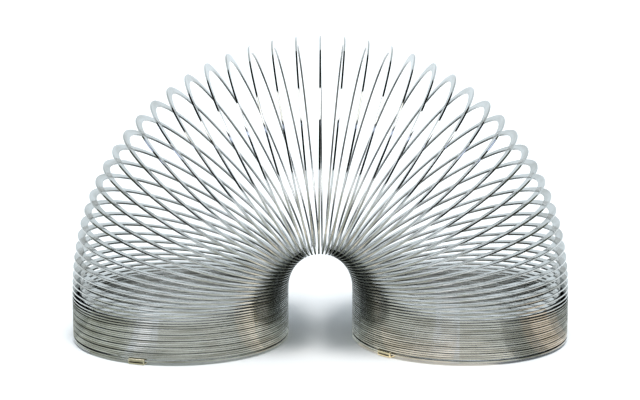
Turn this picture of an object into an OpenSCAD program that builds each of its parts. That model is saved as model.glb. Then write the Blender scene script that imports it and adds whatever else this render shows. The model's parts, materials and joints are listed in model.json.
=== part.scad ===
// Walking-spring desk toy, standing as an arch on its two stacked ends.
// One long flat spring-steel wire is coiled into rings. Its two cut ends are held down by small
// crimped sheet-metal clips. The turns lie almost closed in the two legs and fan out over the top.
// +Z is up, +X runs from the left foot to the right foot, and the origin is on the floor midway
// between the feet. Each turn is two half rings, front (-Y) and back (+Y), that meet on y = 0 at
// the inner and outer points of the arch. A bent turn pivots on its neighbour at the inner point.

/* [Wire] */
// Outside diameter of the rings
coil_d = 68.5; // [55:0.5:85]
// Width of the flat wire, measured across the ring
wire_w = 2.5; // [1.6:0.1:3.2]
// Thickness of the flat wire, measured along the coil
wire_t = 0.56; // [0.4:0.02:0.8]

/* [Arch] */
// Turns in the bent part between the legs, an odd number
bent_turns = 53; // [41:2:55]
// Air gap between neighbouring bent turns once they are folded flat
bend_gap = 0.05; // [0.04:0.01:0.15]
// Extra inner pitch where the arch bends, in mm for each radian of bend
bend_spread = 4; // [2:0.1:5]
// How strongly the bend gathers at the top of the arch
bend_focus = 1.3; // [1:0.1:2.4]

/* [Legs] */
// Turns in the left leg; the right leg has one fewer and a short end
leg_turns = 18; // [10:1:26]
// Air gap between stacked turns of the left leg
leg_gap = 0.09; // [0.06:0.01:0.25]

/* [End clips] */
// Length of a clip along the wire
clip_len = 5; // [3:0.1:8]
// Thickness of the clip's sheet metal
clip_sheet = 0.4; // [0.2:0.02:0.5]
// Play between a clip and the wires that it holds
clip_play = 0.02; // [0.01:0.01:0.06]
// Length of clip that stands past the cut end of the wire
clip_overhang = 0.6; // [0.2:0.1:1.5]
// Where the left wire end lies, in degrees round the ring from the inner side
left_end_at = 106; // [60:1:130]
// Where the right wire end lies, in degrees round the ring from the inner side
right_end_at = 47; // [30:1:80]

/* [Hidden] */
// Ring through the middle of the wire
mid_d = coil_d - wire_w;

// Bend at each hinge of the arch: a smooth hump that sums to a half circle
hinges = bent_turns + 1;
function hump(j) = pow(cos(90 * (2 * j - bent_turns) / (hinges + 1)), bend_focus);
hump_sum = sum([for (j = [0:bent_turns]) hump(j)]);
bend = [for (j = [0:bent_turns]) 180 * hump(j) / hump_sum];
radian = 180 / PI;

// Rise of each half ring in a leg, counted from the floor: two clipped turns, then a lift over
// the clip's sheet, then the loose stack
clip_wall = clip_sheet + clip_play;
pair_rise = (wire_t + clip_play) / 2;
clip_lift = wire_t + clip_wall + 2 * clip_play - pair_rise;
function rise(h, stack_rise) = h < 3 ? pair_rise : h == 3 ? clip_lift : stack_rise;
function total_rise(first, last, stack_rise) = sum([for (h = [first:last]) rise(h, stack_rise)]);
function rise_share(angle) = (1 - cos(angle)) / 2;

// Both clips stand on the floor and both legs reach the same height, which sets the right stack
rest_z = wire_t / 2 + clip_wall;
left_halves = 2 * leg_turns;
right_halves = 2 * (leg_turns - 1) + 1;
left_stack_rise = (wire_t + leg_gap) / 2;
left_start_z = rest_z - pair_rise * rise_share(left_end_at);
leg_top_z = left_start_z + total_rise(0, left_halves - 1, left_stack_rise);
right_start_z = rest_z + pair_rise * rise_share(right_end_at);
right_fixed_z = right_start_z + total_rise(1, 3, 0);
right_stack_rise = (leg_top_z - right_fixed_z) / (right_halves - 4);

// Tilt of every half ring from level, along the wire from the left end to the right end. Even
// entries are front halves and odd entries are back halves.
left_tilts = [for (h = [0:left_halves - 1])
    (h % 2 == 0 ? 1 : -1) * asin(rise(h, left_stack_rise) / mid_d)];
turn_tilt = [for (sum_so_far = 0, j = 0; j < bent_turns; sum_so_far = sum_so_far + bend[j], j = j + 1)
    sum_so_far + bend[j]];
turn_pitch = [for (m = [0:bent_turns - 1])
    wire_t + bend_gap + bend_spread * (bend[m] + bend[m + 1]) / 2 / radian];
bent_tilts = [for (m = [0:bent_turns - 1]) each
    let (own = asin(turn_pitch[m] / 2 / mid_d)) [turn_tilt[m] + own, turn_tilt[m] - own]];
right_tilts = [for (n = [0:right_halves - 1])
    180 + (n % 2 == 0 ? 1 : -1) * asin(rise(right_halves - 1 - n, right_stack_rise) / mid_d)];
tilts = concat(left_tilts, bent_tilts, right_tilts);
halves = len(tilts);

// Points where the half rings meet, in x and z: even ones inner, odd ones outer
function outward(tilt) = [-cos(tilt), sin(tilt)];
raw_points = [for (p = [0, 0], h = 0; h <= halves;
    p = p + (h % 2 == 0 ? 1 : -1) * mid_d * outward(tilts[min(h, halves - 1)]), h = h + 1) p];
left_reach = min([for (h = [1:2:left_halves]) raw_points[h][0]]);
right_reach = max([for (h = [1:2:halves]) raw_points[h][0]]);
points = [for (p = raw_points) [p[0] - (left_reach + right_reach) / 2, p[1] + left_start_z]];

function sum(list) = [for (total = 0, i = 0; i < len(list); total = total + list[i], i = i + 1)
    total + list[i]][len(list) - 1];
function turn_name(m) = str("coil_turn_", m < 10 ? "0" : "", m);

$fn = 96;

// Places a ring's own frame: its inner meeting point at +X, its axis along the coil
module on_ring(h) {
    inner_point = h % 2 == 0 ? points[h] : points[h + 1];
    translate([inner_point[0], 0, inner_point[1]])
        rotate([0, tilts[h], 0])
            translate([-mid_d / 2, 0, 0])
                children();
}

// Sweeps a section round the back of the ring by an angle, from the inner side
module swept(angle) {
    rotate_extrude(angle = angle)
        translate([mid_d / 2, 0])
            children();
}

// The part of half ring h that the wire fills; the left end's short arc starts at the outer side
module half_ring(h) {
    angle = h == 0 ? 180 - left_end_at : h == halves - 1 ? right_end_at : 180;
    on_ring(h)
        mirror([h == 0 ? 1 : 0, 0, 0])
            mirror([0, h % 2 == 0 ? 1 : 0, 0])
                swept(angle)
                    square([wire_w, wire_t], center = true);
}

module wire_run(first, last) {
    color("silver")
        for (h = [first:last]) half_ring(h);
}

// Crimped sleeve round the wire's end and the turn beside it, which lies at side = 1 or -1
module end_clip(h, from, to, side) {
    slot_w = wire_w + 2 * clip_play;
    slot_h = 2 * pair_rise + wire_t + 2 * clip_play;
    middle = side * pair_rise;
    color("wheat")
        on_ring(h)
            rotate([0, 0, -to])
                swept(to - from)
                    translate([0, middle])
                        difference() {
                            square([slot_w + 2 * clip_sheet, slot_h + 2 * clip_sheet], center = true);
                            square([slot_w, slot_h], center = true);
                        }
}

clip_angle = clip_len / mid_d * 2 * radian;
overhang_angle = clip_overhang / mid_d * 2 * radian;

module left_leg_coil() {
    wire_run(0, left_halves - 1);
}

module right_leg_coil() {
    wire_run(halves - right_halves, halves - 1);
}

module coil_turn(m) {
    first = left_halves + 2 * (m - 1);
    wire_run(first, first + 1);
}

module left_end_clip() {
    from = left_end_at - overhang_angle;
    end_clip(0, from, from + clip_angle, 1);
}

module right_end_clip() {
    to = right_end_at + overhang_angle;
    end_clip(halves - 1, to - clip_angle, to, -1);
}

left_leg_coil();
left_end_clip();
for (m = [1:bent_turns])
    coil_turn(m);
right_leg_coil();
right_end_clip();
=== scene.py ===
"""Looks of the walking-spring desk toy: one flat steel wire coiled into rings, with a clip at each end."""

import json
import math

import bmesh
import bpy
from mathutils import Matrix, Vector

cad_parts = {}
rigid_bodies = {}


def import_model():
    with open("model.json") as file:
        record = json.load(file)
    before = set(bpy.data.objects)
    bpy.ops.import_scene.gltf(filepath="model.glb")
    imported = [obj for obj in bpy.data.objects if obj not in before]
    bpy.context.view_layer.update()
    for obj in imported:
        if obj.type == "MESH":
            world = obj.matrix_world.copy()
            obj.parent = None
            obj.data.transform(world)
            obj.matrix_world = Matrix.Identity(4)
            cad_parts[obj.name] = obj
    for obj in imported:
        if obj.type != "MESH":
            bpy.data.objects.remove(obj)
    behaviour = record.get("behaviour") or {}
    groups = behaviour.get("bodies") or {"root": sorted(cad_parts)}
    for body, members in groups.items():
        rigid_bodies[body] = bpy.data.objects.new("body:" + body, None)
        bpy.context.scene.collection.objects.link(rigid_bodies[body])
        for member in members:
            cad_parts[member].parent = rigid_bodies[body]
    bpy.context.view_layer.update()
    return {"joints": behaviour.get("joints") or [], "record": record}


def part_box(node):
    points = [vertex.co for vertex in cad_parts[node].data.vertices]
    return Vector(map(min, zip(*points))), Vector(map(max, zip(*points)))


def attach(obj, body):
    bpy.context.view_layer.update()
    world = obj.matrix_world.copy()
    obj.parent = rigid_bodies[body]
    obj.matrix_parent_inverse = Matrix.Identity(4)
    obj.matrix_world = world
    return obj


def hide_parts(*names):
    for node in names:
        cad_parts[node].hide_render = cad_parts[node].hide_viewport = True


bl_info = {
    "name": "Walking Spring Toy",
    "version": (1, 0, 0),
    "blender": (4, 5, 0),
    "location": "3D View > Sidebar > Spring Toy",
    "description": "Builds the flat-wire spring, its end clips and a pale studio round the packed frame",
    "category": "Object",
}

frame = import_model()

MM = 0.001
FULL_TURN = 2 * math.pi
STATIONS = 96  # sections of wire in one turn
EDGE_STEPS = 3  # facets in each rounded edge of the wire
CLIPPED_TURNS = 2  # turns that a clip holds together at the foot of a leg
CLIPPED_HALVES = 4  # half turns whose rise the clip sets: three in or beside it and the one over it
BUNCH = 3  # loose turns that settle together in a leg
STEP_FROM = math.radians(290)  # where round a turn the wire starts to move to the next turn's settling
INNER_SETTLING = 0.45  # share of a turn's settling that its inner side takes; the outer side takes it all

CORNER_STEPS = 5  # facets in each bend of a clip's sheet
FACE_STEPS = 12  # strips down a clip's outer face
CLIP_STEPS = 40  # strips along a clip
INNER_CORNER = 0.15 * MM  # inner bend radius of a clip's sheet
SEAM = 0.06 * MM  # half the gap between the folded sheet's edges
SHEARED_EDGE = 0.12 * MM  # rounding of a clip's sheared ends


def linear(hex_colour):
    """sRGB hex, such as C8CCCF, as a linear colour."""
    parts = [int(hex_colour[i : i + 2], 16) / 255 for i in (0, 2, 4)]
    return [p / 12.92 if p <= 0.04045 else ((p + 0.055) / 1.055) ** 2.4 for p in parts]


def size(label, about, millimetres):
    return bpy.props.FloatProperty(
        name=label, description=about, default=millimetres * MM, min=0, unit="LENGTH", precision=5
    )


def turned(label, about, degrees):
    return bpy.props.FloatProperty(
        name=label, description=about, default=math.radians(degrees), subtype="ANGLE"
    )


def share(label, about, value):
    return bpy.props.FloatProperty(
        name=label, description=about, default=value, min=0, max=1, subtype="FACTOR"
    )


def colour(label, about, hex_colour):
    return bpy.props.FloatVectorProperty(
        name=label, description=about, default=linear(hex_colour), min=0, max=1, subtype="COLOR"
    )


class WireSizes(bpy.types.PropertyGroup):
    width: size("Wire width", "Width of the flat wire, across the ring", 2.5)
    thickness: size("Wire thickness", "Thickness of the flat wire, along the coil", 0.56)
    outer_radius: size("Outer edge radius", "Rounding of the edge that coiling stretches flat", 0.11)
    inner_radius: size("Inner edge radius", "Rounding of the edge that coiling squeezes full", 0.2)
    left_turns: bpy.props.IntProperty(
        name="Left leg turns", description="Whole turns stacked in the left leg", default=18, min=4
    )
    right_turns: bpy.props.IntProperty(
        name="Right leg turns", description="Whole turns stacked in the right leg", default=17, min=4
    )
    left_bunching: share("Left bunching", "How far the left leg's turns gather in bunches", 1.0)
    right_bunching: share("Right bunching", "How far the right leg's turns gather in bunches", 0.5)
    bright: colour("Bright steel", "Colour of the clean rolled steel", "C1C3C2")
    dull: colour("Handled steel", "Colour where handling has dulled the steel", "95958F")


class ClipSizes(bpy.types.PropertyGroup):
    length: size("Clip length", "Length of the sleeve along the wire", 5)
    sheet: size("Clip sheet", "Thickness of the sleeve's sheet metal", 0.4)
    play: size("Clip play", "Play between the sleeve and the wires in it", 0.02)
    overhang: size("Clip overhang", "Sleeve that stands past the cut end of the wire", 0.6)
    corner: size("Clip corner", "Outer bend radius of the folded sheet", 0.55)
    crimp: size("Crimp depth", "Depth of the valley pressed between the two wires", 0.16)
    left_end: turned("Left wire end", "Left wire end's place round the ring, from its inner side", 106)
    right_end: turned("Right wire end", "Right wire end's place round the ring, from its inner side", 47)
    plating: colour("Plating", "Colour of the warm nickel plating", "DDD6BE")
    # Painted shade: the darker colour that the sleeve takes down its pressed valley
    valley: colour("Valley", "Colour down in the pressed valley", "A49E8C")


class StudioSettings(bpy.types.PropertyGroup):
    floor: colour("Floor", "Colour of the white sweep that the toy stands on", "F6F7F9")
    air: colour("Surroundings", "Colour of the pale surroundings", "E9F2F7")
    distance: size("Camera distance", "From the camera to the middle of the toy", 600)
    pitch: turned("Camera pitch", "How far the camera looks down", 11.6)
    lens: bpy.props.FloatProperty(
        name="Lens", description="Focal length in millimetres", default=107.1, min=20
    )


# ---- The wire's way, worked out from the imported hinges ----


class HalfRing:
    """Half a ring of wire, its front or its back, with angles counted round the ring from the inner side."""

    def __init__(self, inner, tilt, front):
        self.inner, self.tilt = inner, tilt
        self.start, self.end = (0.0, math.pi) if front else (math.pi, FULL_TURN)
        self.inner_tilt = self.outer_tilt = tilt  # tilt of the shared section where the wire runs on
        self.sink = self.next_sink = 0.0  # how far a loose leg turn, and the one after it, has settled


def outward(tilt):
    """Unit step across a tilted ring, from its inner side to its outer side."""
    return Vector((-math.cos(tilt), 0, math.sin(tilt)))


def chain_of_hinges():
    """Hinges in order along the wire, from the left leg."""
    by_parent = {joint["parent"]: joint for joint in frame["joints"]}
    body, chain = "left_leg", []
    while body in by_parent:
        chain.append(by_parent[body])
        body = by_parent[body]["child"]
    return chain


def leg_halves(top, tilts, across, upwards):
    """Half rings of a leg in wire order, placed from its top hinge point down to the floor."""
    point, halves = top.copy(), []
    for n, tilt in enumerate(reversed(tilts) if upwards else tilts):
        front = n % 2 == (1 if upwards else 0)
        step = outward(tilt) * across
        following = point - step if front == upwards else point + step
        inner_here = n % 2 == 0
        halves.append(HalfRing(point if inner_here else following, tilt, front))
        point = following
    return halves[::-1] if upwards else halves


def settle(halves, turn_from_floor, slack):
    """Lets a leg's loose turns gather in bunches, where each sinks one slack more than the turn below it."""

    def sink(turn):
        return slack * ((turn - CLIPPED_TURNS) % BUNCH) if turn >= CLIPPED_TURNS else 0.0

    for n, half in enumerate(halves):
        half.sink, half.next_sink = sink(turn_from_floor(n // 2)), sink(turn_from_floor(n // 2 + 1))


def wire_halves():
    """Half rings of the whole wire, grouped by the body that they ride on, and the ring's middle diameter."""
    wire, clip = bpy.context.scene.spring_wire_sizes, bpy.context.scene.spring_clip_sizes
    low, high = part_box("left_leg_coil")
    across = high.y - low.y - wire.width
    chain = chain_of_hinges()
    points = [Vector(joint["pos_m"]) for joint in chain]
    pair = (wire.thickness + clip.play) / 2
    lift = wire.thickness + clip.sheet + 3 * clip.play - pair
    rest_z = wire.thickness / 2 + clip.sheet + clip.play

    count = 2 * wire.left_turns
    floor_z = rest_z - pair * (1 - math.cos(clip.left_end)) / 2
    stack = (points[0].z - floor_z - 3 * pair - lift) / (count - CLIPPED_HALVES)
    rises = [pair] * 3 + [lift] + [stack] * (count - CLIPPED_HALVES)
    tilts = [math.asin(rise / across) * (1 if h % 2 == 0 else -1) for h, rise in enumerate(rises)]
    left = leg_halves(points[0], tilts, across, upwards=True)
    left[0].start = clip.left_end
    settle(left, lambda turn: turn, (2 * stack - wire.thickness) * wire.left_bunching)
    left[-1].next_sink = left[-2].next_sink = 0.0  # the top turn runs on into the arch

    turns = []
    for before, after in zip(points, points[1:]):
        step = after - before
        tilt, own = math.atan2(step.x, step.z), math.asin(step.length / 2 / across)
        turns.append([HalfRing(before, tilt + own, True), HalfRing(after, tilt - own, False)])

    count = 2 * wire.right_turns + 1
    floor_z = rest_z + pair * (1 - math.cos(clip.right_end)) / 2
    stack = (points[-1].z - floor_z - 2 * pair - lift) / (count - CLIPPED_HALVES)
    rises = [stack] * (count - CLIPPED_HALVES) + [lift] + [pair] * 3
    tilts = [math.pi + math.asin(rise / across) * (1 if h % 2 == 0 else -1) for h, rise in enumerate(rises)]
    right = leg_halves(points[-1], tilts, across, upwards=False)
    right[-1].end = clip.right_end
    settle(right, lambda turn: wire.right_turns - turn, (2 * stack - wire.thickness) * wire.right_bunching)

    names = [joint["child"] for joint in chain]
    bodies = [("left_leg", left), *zip(names, turns), (names[-1], right)]
    run = [half for _, part in bodies for half in part]
    for n, (one, other) in enumerate(zip(run, run[1:])):
        met = (one.tilt + other.tilt) / 2
        if n % 2 == 0:
            one.outer_tilt = other.outer_tilt = met
        else:
            one.inner_tilt = other.inner_tilt = met
    return bodies, across


def wire_stations(halves, across, travelled):
    """Place, flat-side direction and distance along the wire at each station of a run of half rings."""
    stations = []
    for half in halves:
        count = max(4, round(STATIONS * (half.end - half.start) / FULL_TURN))
        level, steep = math.cos(half.tilt), math.sin(half.tilt)
        for i in range(1 if stations else 0, count + 1):
            angle = half.start + (half.end - half.start) * i / count
            cosine, sine = math.cos(angle), math.sin(angle)
            reach = across / 2 * (cosine - 1)
            place = half.inner + Vector((reach * level, -across / 2 * sine, -reach * steep))
            tangent = Vector((-sine * level, -cosine, sine * steep))
            side = Vector((steep, 0, level))
            met = half.inner_tilt if cosine > 0 else half.outer_tilt
            twist = (half.tilt - met) * cosine * abs(cosine)
            side = side * math.cos(twist) + tangent.cross(side) * math.sin(twist)
            late = min(1.0, max(0.0, (angle - STEP_FROM) / (FULL_TURN - STEP_FROM)))
            late = late * late * (3 - 2 * late)
            taken = INNER_SETTLING + (1 - INNER_SETTLING) * (1 - cosine) / 2
            place.z -= (half.sink + (half.next_sink - half.sink) * late) * taken
            if stations:
                travelled += (place - stations[-1][0]).length
            stations.append((place, side, travelled))
    return stations, travelled


# ---- Node helpers ----


def add_node(tree, kind, inputs=None, **settings):
    """Adds a node, sets its properties, and links or sets its inputs."""
    made = tree.nodes.new(kind)
    for name, value in settings.items():
        setattr(made, name, value)
    for key, value in (inputs or {}).items():
        if isinstance(value, bpy.types.NodeSocket):
            tree.links.new(value, made.inputs[key])
        else:
            made.inputs[key].default_value = value
    return made


def new_material(name):
    material = bpy.data.materials.new(name)
    material.use_nodes = True
    material.node_tree.nodes.clear()
    return material, material.node_tree


# ---- Materials ----


def spring_steel(wire):
    """Tempered carbon spring steel, cold rolled flat between polished rolls.

    The rolls leave a bright mirror-like grey with faint lines along the wire, and hands leave soft duller,
    slightly straw-coloured patches some centimetres long.
    """
    material, tree = new_material("cold_rolled_spring_steel")
    wire_way = add_node(tree, "ShaderNodeAttribute", attribute_name="wire_way", attribute_type="GEOMETRY")
    way = wire_way.outputs["Vector"]
    # Handling marks: patches about 20 mm long along the wire and as wide as it
    patches = add_node(
        tree,
        "ShaderNodeMapping",
        {"Vector": way, "Scale": (1 / (20 * MM), 1 / (4 * MM), 1 / (4 * MM))},
    )
    handled = add_node(
        tree, "ShaderNodeTexNoise", {"Vector": patches.outputs[0], "Scale": 1.0, "Detail": 3.0}
    )
    dulled = add_node(
        tree,
        "ShaderNodeMapRange",
        {"Value": handled.outputs[0], "From Min": 0.42, "From Max": 0.72},
    )
    tone = add_node(
        tree,
        "ShaderNodeMix",
        {"Factor": dulled.outputs[0], "A": (*wire.bright, 1), "B": (*wire.dull, 1)},
        data_type="RGBA",
    )
    # Rolling lines: 0.02 mm wide on the real wire, drawn 0.12 mm wide and 14 mm long so that they show
    lines = add_node(
        tree,
        "ShaderNodeMapping",
        {"Vector": way, "Scale": (1 / (14 * MM), 1 / (0.12 * MM), 1 / (0.12 * MM))},
    )
    rolled = add_node(tree, "ShaderNodeTexNoise", {"Vector": lines.outputs[0], "Scale": 1.0, "Detail": 2.0})
    sheen = add_node(
        tree,
        "ShaderNodeMapRange",
        {"Value": rolled.outputs[0], "From Min": 0.3, "From Max": 0.7, "To Min": 0.03, "To Max": 0.06},
    )
    worn = add_node(
        tree,
        "ShaderNodeMath",
        {0: dulled.outputs[0], 1: 0.05, 2: sheen.outputs[0]},
        operation="MULTIPLY_ADD",
    )
    # Coiling squeezes the wire's inner edge, 0.25 mm deep, into a finely wrinkled, satin skin
    inwards = add_node(tree, "ShaderNodeSeparateXYZ", {"Vector": way}).outputs["Z"]
    squeezed = add_node(
        tree,
        "ShaderNodeMapRange",
        {
            "Value": inwards,
            "From Min": wire.width / 2 - 0.25 * MM,
            "From Max": wire.width / 2 - 0.1 * MM,
            "To Min": 0.0,
            "To Max": 0.22,
        },
    )
    rough = add_node(tree, "ShaderNodeMath", {0: worn.outputs[0], 1: squeezed.outputs[0]}, operation="ADD")
    bump = add_node(
        tree, "ShaderNodeBump", {"Height": rolled.outputs[0], "Strength": 0.06, "Distance": 0.01 * MM}
    )
    shader = add_node(
        tree,
        "ShaderNodeBsdfPrincipled",
        {
            "Base Color": tone.outputs["Result"],
            "Metallic": 1.0,
            "Roughness": rough.outputs[0],
            "Normal": bump.outputs[0],
        },
    )
    add_node(tree, "ShaderNodeOutputMaterial", {"Surface": shader.outputs[0]})
    return material


def plated_sheet(clip):
    """Mild-steel sheet, dull nickel plated and crimped.

    The plating gives a warm, creamy shine. The crimping tool leaves fine scuffs. The colour is darker down
    the pressed valley along the sleeve: painted shade.
    """
    material, tree = new_material("nickel_plated_steel_sheet")
    place = add_node(tree, "ShaderNodeTexCoord").outputs["Object"]
    # Scuffs about 0.3 mm wide from the crimping tool
    scuffs = add_node(tree, "ShaderNodeTexNoise", {"Vector": place, "Scale": 1 / (0.6 * MM), "Detail": 4.0})
    # Painted shade: the colour turns to the valley colour as deep as the pressed valley goes
    pressed = add_node(tree, "ShaderNodeAttribute", attribute_name="valley_shade_mask", attribute_type="GEOMETRY")
    tone = add_node(
        tree,
        "ShaderNodeMix",
        {"Factor": pressed.outputs["Fac"], "A": (*clip.plating, 1), "B": (*clip.valley, 1)},
        data_type="RGBA",
    )
    rough = add_node(
        tree,
        "ShaderNodeMapRange",
        {"Value": scuffs.outputs[0], "From Min": 0.3, "From Max": 0.7, "To Min": 0.08, "To Max": 0.2},
    )
    bump = add_node(
        tree, "ShaderNodeBump", {"Height": scuffs.outputs[0], "Strength": 0.2, "Distance": 0.02 * MM}
    )
    shader = add_node(
        tree,
        "ShaderNodeBsdfPrincipled",
        {
            "Base Color": tone.outputs["Result"],
            "Metallic": 1.0,
            "Roughness": rough.outputs[0],
            "Normal": bump.outputs[0],
        },
    )
    add_node(tree, "ShaderNodeOutputMaterial", {"Surface": shader.outputs[0]})
    return material


def white_sweep(studio):
    """Satin white paper sweep: an even, pale colour, with a sheen that the paper's mottle varies."""
    material, tree = new_material("white_paper_sweep")
    place = add_node(tree, "ShaderNodeTexCoord").outputs["Object"]
    # Paper mottle about 8 mm across
    mottle = add_node(tree, "ShaderNodeTexNoise", {"Vector": place, "Scale": 1 / (8 * MM), "Detail": 3.0})
    rough = add_node(
        tree,
        "ShaderNodeMapRange",
        {"Value": mottle.outputs[0], "To Min": 0.5, "To Max": 0.65},
    )
    shader = add_node(
        tree,
        "ShaderNodeBsdfPrincipled",
        {"Base Color": (*studio.floor, 1), "Roughness": rough.outputs[0], "Specular IOR Level": 0.2},
    )
    add_node(tree, "ShaderNodeOutputMaterial", {"Surface": shader.outputs[0]})
    return material


def plain_light(name, rgb, strength):
    """Material of a studio card that gives even light of one colour."""
    material, tree = new_material(name)
    glow = add_node(tree, "ShaderNodeEmission", {"Color": (*rgb, 1), "Strength": strength})
    add_node(tree, "ShaderNodeOutputMaterial", {"Surface": glow.outputs[0]})
    return material


# ---- Pieces ----


def flat_wire_tree():
    """Node tree that sweeps a flat wire with rounded edges along a line of stations."""
    tree = bpy.data.node_groups.new("flat_wire_on_a_path", "GeometryNodeTree")
    face = tree.interface
    face.new_socket("Stations", in_out="INPUT", socket_type="NodeSocketGeometry")
    for name in ("Width", "Thickness", "Outer Radius", "Inner Radius"):
        face.new_socket(name, in_out="INPUT", socket_type="NodeSocketFloat")
    face.new_socket("Edge Steps", in_out="INPUT", socket_type="NodeSocketInt")
    face.new_socket("Material", in_out="INPUT", socket_type="NodeSocketMaterial")
    face.new_socket("Wire", in_out="OUTPUT", socket_type="NodeSocketGeometry")
    given = add_node(tree, "NodeGroupInput").outputs
    line = add_node(tree, "GeometryNodeMeshToCurve", {"Mesh": given["Stations"]})
    flat_side = add_node(
        tree, "GeometryNodeInputNamedAttribute", {"Name": "flat_side"}, data_type="FLOAT_VECTOR"
    )
    held = add_node(
        tree,
        "GeometryNodeSetCurveNormal",
        {"Curve": line.outputs[0], "Normal": flat_side.outputs["Attribute"]},
        mode="FREE",
    )
    section = add_node(
        tree,
        "GeometryNodeCurvePrimitiveQuadrilateral",
        {"Width": given["Thickness"], "Height": given["Width"]},
        mode="RECTANGLE",
    )
    spot = add_node(tree, "GeometryNodeInputPosition").outputs[0]
    depth = add_node(tree, "ShaderNodeSeparateXYZ", {"Vector": spot}).outputs["Y"]
    is_outer = add_node(tree, "FunctionNodeCompare", {"A": depth, "B": 0.0}, operation="LESS_THAN").outputs[0]
    radius = add_node(
        tree,
        "GeometryNodeSwitch",
        {"Switch": is_outer, "False": given["Inner Radius"], "True": given["Outer Radius"]},
        input_type="FLOAT",
    )
    rounded = add_node(
        tree,
        "GeometryNodeFilletCurve",
        {
            "Curve": section.outputs[0],
            "Radius": radius.outputs[0],
            "Count": given["Edge Steps"],
            "Limit Radius": True,
        },
        mode="POLY",
    )
    marked = add_node(tree, "GeometryNodeCaptureAttribute", {"Geometry": rounded.outputs[0]})
    marked.capture_items.new("VECTOR", "Spot")
    tree.links.new(spot, marked.inputs["Spot"])
    swept = add_node(
        tree,
        "GeometryNodeCurveToMesh",
        {"Curve": held.outputs[0], "Profile Curve": marked.outputs[0], "Fill Caps": True},
    )
    travelled = add_node(tree, "GeometryNodeInputNamedAttribute", {"Name": "travelled"}, data_type="FLOAT")
    across = add_node(tree, "ShaderNodeSeparateXYZ", {"Vector": marked.outputs["Spot"]})
    way = add_node(
        tree,
        "ShaderNodeCombineXYZ",
        {"X": travelled.outputs["Attribute"], "Y": across.outputs["X"], "Z": across.outputs["Y"]},
    )
    stored = add_node(
        tree,
        "GeometryNodeStoreNamedAttribute",
        {"Geometry": swept.outputs[0], "Name": "wire_way", "Value": way.outputs[0]},
        data_type="FLOAT_VECTOR",
        domain="POINT",
    )
    smooth = add_node(
        tree, "GeometryNodeSetShadeSmooth", {"Geometry": stored.outputs[0], "Shade Smooth": True}
    )
    real = add_node(tree, "GeometryNodeRealizeInstances", {"Geometry": smooth.outputs[0]})
    painted = add_node(
        tree, "GeometryNodeSetMaterial", {"Geometry": real.outputs[0], "Material": given["Material"]}
    )
    add_node(tree, "NodeGroupOutput", {"Wire": painted.outputs[0]})
    return tree


def link_new(name, mesh):
    piece = bpy.data.objects.new(name, mesh)
    bpy.context.scene.collection.objects.link(piece)
    return piece


def swept_wire(name, stations, tree, values):
    """One body's run of wire as a plain mesh."""
    line = bpy.data.meshes.new(name + "_line")
    line.from_pydata([place for place, _, _ in stations], [(i, i + 1) for i in range(len(stations) - 1)], [])
    flat_side = line.attributes.new("flat_side", "FLOAT_VECTOR", "POINT")
    flat_side.data.foreach_set("vector", [value for _, side, _ in stations for value in side])
    travelled = line.attributes.new("travelled", "FLOAT", "POINT")
    travelled.data.foreach_set("value", [far for _, _, far in stations])
    source = link_new(name + "_source", line)
    modifier = source.modifiers.new("Flat wire", "NODES")
    modifier.node_group = tree
    for socket in tree.interface.items_tree:
        if socket.in_out == "INPUT" and socket.name in values:
            modifier[socket.identifier] = values[socket.name]
    flatter = source.modifiers.new("Flat faces", "WEIGHTED_NORMAL")
    flatter.mode, flatter.weight = "FACE_AREA", 50
    bpy.context.view_layer.update()
    graph = bpy.context.evaluated_depsgraph_get()
    finished = source.evaluated_get(graph)
    mesh = bpy.data.meshes.new_from_object(finished, preserve_all_data_layers=True, depsgraph=graph)
    mesh.name = name
    bpy.data.objects.remove(source)
    bpy.data.meshes.remove(line)
    return link_new(name, mesh)


class SPRING_OT_coil(bpy.types.Operator):
    """Sweep the flat wire through both legs and every turn of the arch"""

    bl_idname = "spring_toy.coil"
    bl_label = "Coiled wire"

    def execute(self, context):
        wire = context.scene.spring_wire_sizes
        tree = flat_wire_tree()
        values = {
            "Width": wire.width,
            "Thickness": wire.thickness,
            "Outer Radius": wire.outer_radius,
            "Inner Radius": wire.inner_radius,
            "Edge Steps": EDGE_STEPS,
            "Material": spring_steel(wire),
        }
        bodies, across = wire_halves()
        travelled = 0.0
        for body, halves in bodies:
            node = frame["record"]["behaviour"]["bodies"][body][0]
            stations, travelled = wire_stations(halves, across, travelled)
            piece = swept_wire(node.replace("coil", "wire"), stations, tree, values)
            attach(piece, body)
            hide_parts(node)
        return {"FINISHED"}


def clip_profile(half_width, half_height, corner, seam):
    """Points round a folded strip's section, from edge to edge of the seam at the ring's inner side."""
    points = [(-half_width, seam)]
    for turn, (x, y) in enumerate([(-1, 1), (1, 1), (1, -1), (-1, -1)]):
        centre = (x * (half_width - corner), y * (half_height - corner))
        for step in range(CORNER_STEPS + 1):
            angle = math.radians(180 - 90 * (turn + step / CORNER_STEPS))
            points.append((centre[0] + corner * math.cos(angle), centre[1] + corner * math.sin(angle)))
        if turn == 1:  # down the outer face, which the valley is pressed into
            for step in range(1, FACE_STEPS):
                points.append((half_width, (half_height - corner) * (1 - 2 * step / FACE_STEPS)))
    return points + [(-half_width, -seam)]


class SPRING_OT_clips(bpy.types.Operator):
    """Fold and crimp the sheet-metal sleeve on each end of the wire"""

    bl_idname = "spring_toy.clips"
    bl_label = "End clips"

    def execute(self, context):
        wire, clip = context.scene.spring_wire_sizes, context.scene.spring_clip_sizes
        bodies, across = wire_halves()
        material = plated_sheet(clip)
        pair = (wire.thickness + clip.play) / 2
        for body, half, end, way, lift in (
            ("left_leg", bodies[0][1][0], clip.left_end, 1, pair),
            ("right_leg", bodies[-1][1][-1], clip.right_end, -1, -pair),
        ):
            start = end - way * 2 * clip.overhang / across
            name = body.replace("leg", "end_clip")
            piece = link_new(name + "_sleeve", clip_mesh(name, half, start, way, lift, across))
            piece.data.materials.append(material)
            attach(piece, body)
            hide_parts(name)
        return {"FINISHED"}


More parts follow.
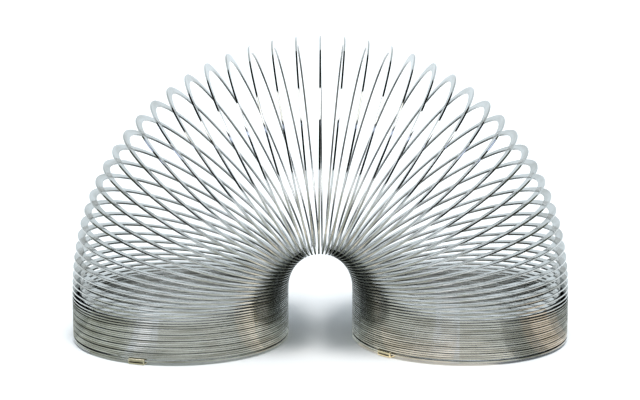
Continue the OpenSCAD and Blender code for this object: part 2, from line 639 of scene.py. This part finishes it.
def clip_mesh(name, half, start, way, lift, across):
    """Closed mesh of one sleeve, swept round the ring from just past the wire's cut end."""
    wire, clip = bpy.context.scene.spring_wire_sizes, bpy.context.scene.spring_clip_sizes
    slot_width = wire.width / 2 + clip.play
    slot_height = wire.thickness + clip.play / 2 + clip.play
    outer = clip_profile(slot_width + clip.sheet, slot_height + clip.sheet, clip.corner, SEAM)
    inner = clip_profile(slot_width, slot_height, INNER_CORNER, SEAM)
    edge = SHEARED_EDGE
    marks = sorted(
        {0, edge / 3, edge, clip.length - edge, clip.length - edge / 3, clip.length}
        | {clip.length * step / CLIP_STEPS for step in range(1, CLIP_STEPS)}
    )
    mesh = bmesh.new()
    # Mask of painted shade: how deep each point lies in the pressed valley
    valley_shade_mask = mesh.verts.layers.float.new("valley_shade_mask")
    level, steep = math.cos(half.tilt), math.sin(half.tilt)
    rings = []
    for mark in marks:
        near_end = min(mark, clip.length - mark)
        rounding = edge - math.sqrt(max(0.0, edge**2 - max(0.0, edge - near_end) ** 2))
        pressed = 1 - abs(2 * mark / clip.length - 1) ** 8  # the valley runs out towards both ends
        angle = start + way * mark * 2 / across
        ring = []
        for shape, is_outer in ((outer, True), (inner, False)):
            for x, y in shape:
                depth = 0.0
                if is_outer:
                    x -= math.copysign(rounding, x)
                    y -= math.copysign(rounding, y) if abs(y) > 2 * rounding else 0
                    if x > 0:
                        depth = pressed * max(0.0, 1 - (y / slot_height) ** 2) ** 2
                        x -= clip.crimp * depth
                radius = across / 2 + x
                reach = radius * math.cos(angle) - across / 2
                rise = y + lift
                along, up = reach * level + rise * steep, rise * level - reach * steep
                vertex = mesh.verts.new(half.inner + Vector((along, -radius * math.sin(angle), up)))
                # The valley's depth also darkens the sleeve's colour there, as painted shade
                vertex[valley_shade_mask] = depth
                ring.append(vertex)
        rings.append(ring)
    count = len(outer)
    for before, after in zip(rings, rings[1:]):
        for i in range(count - 1):
            mesh.faces.new((before[i], before[i + 1], after[i + 1], after[i]))
            mesh.faces.new((before[count + i + 1], before[count + i], after[count + i], after[count + i + 1]))
        mesh.faces.new((before[0], after[0], after[count], before[count]))
        mesh.faces.new((before[count - 1], before[-1], after[-1], after[count - 1]))
    for ring in (rings[0], rings[-1]):
        for i in range(count - 1):
            mesh.faces.new((ring[i], ring[i + 1], ring[count + i + 1], ring[count + i]))
    bmesh.ops.recalc_face_normals(mesh, faces=mesh.faces)
    made = bpy.data.meshes.new(name + "_sleeve")
    mesh.to_mesh(made)
    mesh.free()
    made.shade_smooth()
    made.set_sharp_from_angle(angle=math.radians(35))
    return made


# ---- Studio ----


EYE_HEIGHT = 50 * MM  # height in the toy that elevations are counted from
AIM = Vector((-0.1 * MM, 0, 44.3 * MM))  # what the camera looks at
SUN_WAY = Vector((-0.06, 0.26, -1))  # the way that the key light shines

SHADE_START = 36 * MM  # from a leg's middle to its shaded sweep, just clear of the wall
SHADE_REACH = 120 * MM  # to the end of the shaded sweep
SIDE_REACH = 75 * MM  # the same, at the leg's sides
SIDES_FROM = 75  # azimuth, in degrees either way, past which a sector is at the side
SHADE_HEIGHT = 0.2 * MM
SHADE_STRENGTH = 1.3
# Tone of the shaded sweep round each leg, where it stands at rest. Each tone holds from its azimuth, in
# degrees from the camera side, to the next azimuth, and the last azimuth only ends the last sector. The tones
# are chosen for the light and dark streaks that they give the polished legs.
LEG_SHADES = {
    "left": (
        (-150, "6A6E64"), (-110, "8A8E84"), (-84, "B4B8AE"), (-60, "C4C8BE"), (-40, "CFD3CB"),
        (-34, "E2E7EA"), (-29, "FBFDFF"), (-20, "E2E7EA"), (-14, "CDD0C9"), (20, "C4C6BE"),
        (50, "DED6C8"), (58, "FFF4E2"), (72, "CFC9BC"), (80, "A4A8A0"), (90, "7E827C"),
        (100, "62665F"), (110, "4C504B"), (124, "3A3E3A"), (150, ""),
    ),
    "right": (
        (-150, "3C403C"), (-124, "50544E"), (-112, "6C706A"), (-98, "94988F"), (-80, "AEB2AA"),
        (-64, "C8CCC4"), (-36, "D0D4CE"), (-24, "E4E9EE"), (-19, "FBFDFF"), (-9, "E4E9EE"),
        (-4, "CDD0C9"), (30, "A8AAA2"), (48, "BDB5A8"), (58, "E6D8C6"), (80, "BDB5A8"),
        (92, "94968E"), (110, "74766E"), (150, ""),
    ),
}


def card(name, corners, material, camera=False, diffuse=False, shadow=False):
    """A flat four-cornered card that is part of the studio, seen only in reflections unless said."""
    mesh = bpy.data.meshes.new(name)
    mesh.from_pydata([Vector(corner) for corner in corners], [], [(0, 1, 2, 3)])
    made = link_new(name, mesh)
    mesh.materials.append(material)
    made.visible_camera, made.visible_diffuse, made.visible_shadow = camera, diffuse, shadow
    return made


def level_card(name, half_width, near, far, height, material, **seen):
    """A level card, as far to the left as to the right."""
    sides = ((-half_width, near), (half_width, near), (half_width, far), (-half_width, far))
    return card(name, [(x, y, height) for x, y in sides], material, **seen)


def facing_card(name, azimuth, low, high, half_angle, distance, material):
    """An upright card seen from the toy at an azimuth from the camera side, between two elevations."""
    corners = []
    for side, elevation in ((-1, low), (1, low), (1, high), (-1, high)):
        turn = math.radians(azimuth + side * half_angle)
        height = EYE_HEIGHT + distance * math.tan(math.radians(elevation))
        corners.append((distance * math.sin(turn), -distance * math.cos(turn), height))
    return card(name, corners, material)


def room_round_camera():
    """Bands that stand round the camera's side: a dark room, a slit of window and a tall soft box."""
    black = plain_light("black_flag", linear("0C0D0A"), 1.0)
    dusk = plain_light("dark_room", linear("2C2F26"), 1.0)
    olive = plain_light("olive_room", linear("6C7060"), 1.0)
    bright = plain_light("soft_box", (1, 1, 1), 2.4)
    cool = plain_light("cool_window", linear("D3E0FF"), 1.8)
    for n, azimuth in enumerate(range(-100, 101, 40)):
        dark = olive if abs(azimuth) > 90 else dusk if abs(azimuth) > 40 else black
        for name, low, high, half_angle, distance, material in (
            (f"room_{n}", -4, 36.5, 20.2, 2.6, dark),
            (f"window_{n}", 29, 33, 12, 2.2, cool),
            (f"soft_box_{n}", 36, 76, 20.2, 2.4, bright),
        ):
            facing_card(name, azimuth, low, high, half_angle, distance, material)
    level_card("ceiling_flag", half_width=5, near=-0.5, far=1.1, height=1.5, material=black)
    level_card("front_flag", half_width=3, near=-2.5, far=-0.25, height=0.002, material=black)


def shade_round_legs():
    """Sectors of shaded sweep round the foot of each leg."""
    for side, sectors in LEG_SHADES.items():
        low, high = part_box(f"{side}_leg_coil")
        middle = (low + high) / 2
        for (begin, tone), (finish, _) in zip(sectors, sectors[1:]):
            reach = SIDE_REACH if abs(begin + finish) / 2 > SIDES_FROM else SHADE_REACH
            corners = []
            for far, turn in ((SHADE_START, begin), (reach, begin), (reach, finish), (SHADE_START, finish)):
                turn = math.radians(turn)
                corners.append((middle.x + far * math.sin(turn), -far * math.cos(turn), SHADE_HEIGHT))
            shade = plain_light("shaded_sweep", linear(tone), SHADE_STRENGTH)
            card(f"{side}_shade_{begin + 150}", corners, shade)


def far_walls():
    """A pale wall behind the toy for reflections, and white walls all round so that no horizon line shows."""
    pale = plain_light("pale_wall", bpy.context.scene.spring_studio.air, 1.0)
    facing_card("back_wall", 180, low=-3, high=70, half_angle=60, distance=2.6, material=pale)
    white = plain_light("white_wall", (1, 1, 1), 1.0)
    for azimuth in range(0, 360, 45):
        wall = facing_card(
            f"wall_{azimuth}", azimuth, low=-1, high=30, half_angle=22.6, distance=7.2, material=white
        )
        wall.visible_camera, wall.visible_glossy = True, False


def key_light():
    """A broad, slightly warm key light from above the camera's side."""
    sun = link_new("key_light", bpy.data.lights.new("key_light", "SUN"))
    sun.data.energy = 1.6
    sun.data.angle = math.radians(24)
    sun.data.color = (1, 0.99, 0.97)
    sun.rotation_euler = SUN_WAY.to_track_quat("-Z", "Y").to_euler()
    sun.visible_camera = sun.visible_glossy = False


class SPRING_OT_studio(bpy.types.Operator):
    """Lay the white sweep and set the lights, the dark flags and the camera"""

    bl_idname = "spring_toy.studio"
    bl_label = "Studio"

    def execute(self, context):
        scene, studio = context.scene, context.scene.spring_studio
        paper = white_sweep(studio)
        seen = {"camera": True, "diffuse": True, "shadow": True}
        level_card("white_sweep", half_width=8, near=-8, far=8, height=0, material=paper, **seen)
        room_round_camera()
        shade_round_legs()
        far_walls()
        key_light()

        world = bpy.data.worlds.new("pale_surroundings")
        world.use_nodes = True
        world.node_tree.nodes.clear()
        air = add_node(world.node_tree, "ShaderNodeBackground", {"Color": (*studio.air, 1), "Strength": 0.8})
        add_node(world.node_tree, "ShaderNodeOutputWorld", {"Surface": air.outputs[0]})
        scene.world = world
        scene.view_settings.view_transform = "Standard"
        scene.view_settings.look = "Medium High Contrast"
        # Reflections from turn to turn stop after three, which makes the gaps between the turns a little darker
        scene.cycles.max_bounces, scene.cycles.glossy_bounces = 8, 3

        camera = link_new("camera", bpy.data.cameras.new("camera"))
        camera.data.lens, camera.data.sensor_width = studio.lens, 36
        camera.data.clip_start, camera.data.clip_end = 0.01, 50
        backwards = Vector((0, -math.cos(studio.pitch), math.sin(studio.pitch)))
        camera.location = AIM + studio.distance * backwards
        camera.rotation_euler = (math.pi / 2 - studio.pitch, 0, 0)
        scene.camera = camera
        return {"FINISHED"}


class SPRING_PT_panel(bpy.types.Panel):
    """Sizes and colours of the spring toy, and the operators that build it"""

    bl_idname = "SPRING_PT_panel"
    bl_label = "Spring Toy"
    bl_space_type = "VIEW_3D"
    bl_region_type = "UI"
    bl_category = "Spring Toy"

    def draw(self, context):
        for heading, settings, operator in (
            ("Wire", context.scene.spring_wire_sizes, SPRING_OT_coil),
            ("Clips", context.scene.spring_clip_sizes, SPRING_OT_clips),
            ("Studio", context.scene.spring_studio, SPRING_OT_studio),
        ):
            box = self.layout.box()
            box.label(text=heading)
            for name in settings.bl_rna.properties.keys():
                if name not in ("rna_type", "name"):
                    box.prop(settings, name)
            box.operator(operator.bl_idname)


CLASSES = (
    WireSizes,
    ClipSizes,
    StudioSettings,
    SPRING_OT_coil,
    SPRING_OT_clips,
    SPRING_OT_studio,
    SPRING_PT_panel,
)
SETTINGS = {"spring_wire_sizes": WireSizes, "spring_clip_sizes": ClipSizes, "spring_studio": StudioSettings}


def register():
    for kind in CLASSES:
        bpy.utils.register_class(kind)
    for name, kind in SETTINGS.items():
        setattr(bpy.types.Scene, name, bpy.props.PointerProperty(type=kind))


def unregister():
    for name in SETTINGS:
        delattr(bpy.types.Scene, name)
    for kind in reversed(CLASSES):
        bpy.utils.unregister_class(kind)


def main():
    register()
    bpy.ops.spring_toy.coil()
    bpy.ops.spring_toy.clips()
    bpy.ops.spring_toy.studio()


if __name__ == "__main__":
    main()
